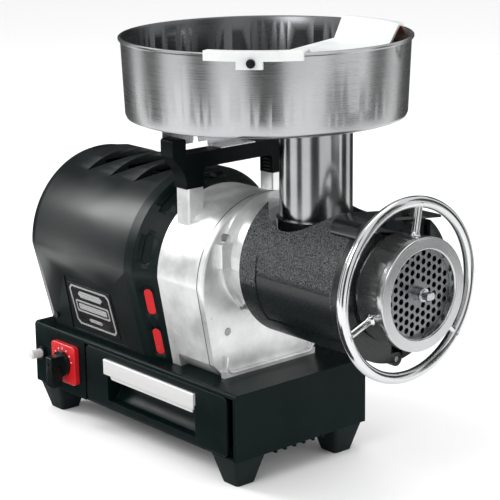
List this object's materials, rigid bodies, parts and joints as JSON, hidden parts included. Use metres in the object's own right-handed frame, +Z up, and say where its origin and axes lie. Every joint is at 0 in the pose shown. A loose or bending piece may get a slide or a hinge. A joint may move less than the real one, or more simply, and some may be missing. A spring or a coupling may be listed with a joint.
{
  "type": "electric meat grinder",
  "caption": "Bench meat grinder with a geared motor, horizontal screw head, hopper pan, ring nut with hand ring and a tool drawer in the base.",
  "frame": {"origin": "on the bench, in the machine's middle plane, midway between the tip of the feed stud and the cord gland", "axes": "+Z up; the cutting plate faces -Y, the motor is at +Y; the switch and the drawer are on the -X side"},
  "size_m": [0.3218, 0.5774, 0.4839],
  "materials": {
    "black_sheet": "satin black powder coat on sheet steel",
    "cover_black": "satin moulded black with a light leather grain",
    "drawer_black": "satin moulded black",
    "red_plastic": "glossy red",
    "silver_strip": "satin silver grey paint",
    "cast_alloy": "polished casting",
    "steel": "ground",
    "stainless": "brushed stainless",
    "polished": "polished stainless",
    "jacket_black": "hammered black",
    "clamp_black": "glossy black",
    "handle_black": "matte black",
    "knob_black": "satin black",
    "foot_rubber": "matte",
    "guard_white": "satin white",
    "boot_clear": "milky",
    "copper": "varnished copper windings",
    "lamination": "stacked lamination",
    "brass": "machined",
    "gel": "translucent gel pack",
    "dark_plastic": "matte",
    "fan_white": "matte",
    "badge": "plain dark plate",
    "seal": "matte"
  },
  "bodies": {
    "stand": {"base_housing": "black_sheet", "base_plate": "black_sheet", "side_panel": "black_sheet", "feet": "foot_rubber", "foot_screws": "steel", "drawer_rails": "steel", "switch_plate": "red_plastic", "switch_body": "dark_plastic", "reset_breaker": "knob_black", "cord_gland": "knob_black", "gearbox_housing": "cast_alloy", "gearbox_cover": "cast_alloy", "gearbox_screws": "steel", "oil_seal": "seal", "gearbox_bearings": "steel", "stator_core": "lamination", "stator_windings": "copper", "motor_bracket_front": "cast_alloy", "motor_bracket_rear": "cast_alloy", "tie_rods": "steel", "motor_bearings": "steel", "front_bezel": "cover_black", "bezel_inlays": "red_plastic", "motor_cover": "cover_black", "name_plates": "badge", "cover_screws": "steel", "handle": "handle_black", "handle_studs": "steel", "head": "stainless", "throat_tube": "polished", "cutting_plate": "stainless", "jacket_pin": "steel"},
    "drawer": {"drawer_front": "drawer_black", "drawer_tray": "black_sheet", "drawer_strip": "silver_strip"},
    "switch": {"switch_knob": "knob_black"},
    "reset": {"reset_button": "boot_clear"},
    "jacket_near_half": {"jacket_near": "jacket_black", "cold_pack_near": "gel"},
    "jacket_far_half": {"jacket_far": "jacket_black", "cold_pack_far": "gel"},
    "clamp": {"clamp_plate": "clamp_black"},
    "clamp_thumb": {"clamp_knob": "knob_black"},
    "nut": {"ring_nut": "polished", "hand_ring": "polished"},
    "feed": {"output_gear": "steel", "output_shaft": "steel", "auger": "stainless", "auger_stud": "steel", "knife": "steel"},
    "countershaft": {"layshaft": "steel", "layshaft_gear": "steel"},
    "rotor": {"motor_shaft": "steel", "rotor_core": "lamination", "cooling_fan": "fan_white"},
    "hopper": {"pan": "stainless", "pan_bracket": "stainless", "guard": "guard_white"},
    "thumb_near": {"guard_knob_near": "knob_black"},
    "thumb_far": {"guard_knob_far": "knob_black"}
  },
  "joints": [
    {"name": "drawer_slide", "type": "slide", "parent": "stand", "child": "drawer", "axis": [-1, 0, 0], "range_m": [0, 0.15]},
    {"name": "switch_turn", "type": "hinge", "parent": "stand", "child": "switch", "pos_m": [-0.1, 0.2123, 0.0726], "axis": [-1, 0, 0], "range_deg": [-45, 45]},
    {"name": "reset_press", "type": "slide", "parent": "stand", "child": "reset", "axis": [1, 0, 0], "range_m": [0, 0.003], "stiffness_N_per_m": 600},
    {"name": "jacket_near_open", "type": "hinge", "parent": "stand", "child": "jacket_near_half", "pos_m": [0.0035, -0.2247, 0.1631], "axis": [0, -1, 0], "range_deg": [0, 30]},
    {"name": "jacket_far_open", "type": "hinge", "parent": "stand", "child": "jacket_far_half", "pos_m": [0.0035, -0.2247, 0.1631], "axis": [0, 1, 0], "range_deg": [0, 30]},
    {"name": "clamp_lift", "type": "hinge", "parent": "jacket_near_half", "child": "clamp", "pos_m": [-0.043, -0.2197, 0.3031], "axis": [0, -1, 0], "range_deg": [0, 100]},
    {"name": "clamp_thumb_turn", "type": "hinge", "parent": "clamp", "child": "clamp_thumb", "pos_m": [0.0255, -0.2312, 0.315], "axis": [0, 0, 1], "range_deg": [0, 90]},
    {"name": "nut_turn", "type": "hinge", "parent": "stand", "child": "nut", "pos_m": [0, -0.2567, 0.2411], "axis": [0, -1, 0], "range_deg": [0, 1020]},
    {"name": "motor_spin", "type": "hinge", "parent": "stand", "child": "rotor", "pos_m": [0, 0.1213, 0.2121], "axis": [0, -1, 0], "continuous": true},
    {"name": "countershaft_spin", "type": "hinge", "parent": "stand", "child": "countershaft", "pos_m": [0, 0.0013, 0.1731], "axis": [0, -1, 0], "continuous": true},
    {"name": "feed_spin", "type": "hinge", "parent": "stand", "child": "feed", "pos_m": [0, -0.1587, 0.2411], "axis": [0, -1, 0], "continuous": true},
    {"name": "pan_lift", "type": "slide", "parent": "stand", "child": "hopper", "axis": [0, 0, 1], "range_m": [0, 0.06]},
    {"name": "thumb_near_turn", "type": "hinge", "parent": "hopper", "child": "thumb_near", "pos_m": [-0.11759, -0.15493, 0.4723], "axis": [-0.7259, -0.6878, 0], "range_deg": [0, 720]},
    {"name": "thumb_far_turn", "type": "hinge", "parent": "hopper", "child": "thumb_far", "pos_m": [0.1617, -0.05327, 0.4723], "axis": [0.9982, -0.0603, 0], "range_deg": [0, 720]}
  ],
  "couplings": [
    {"joint": "countershaft_spin", "follows": "motor_spin", "ratio": -0.36842},
    {"joint": "feed_spin", "follows": "motor_spin", "ratio": 0.13263}
  ]
}
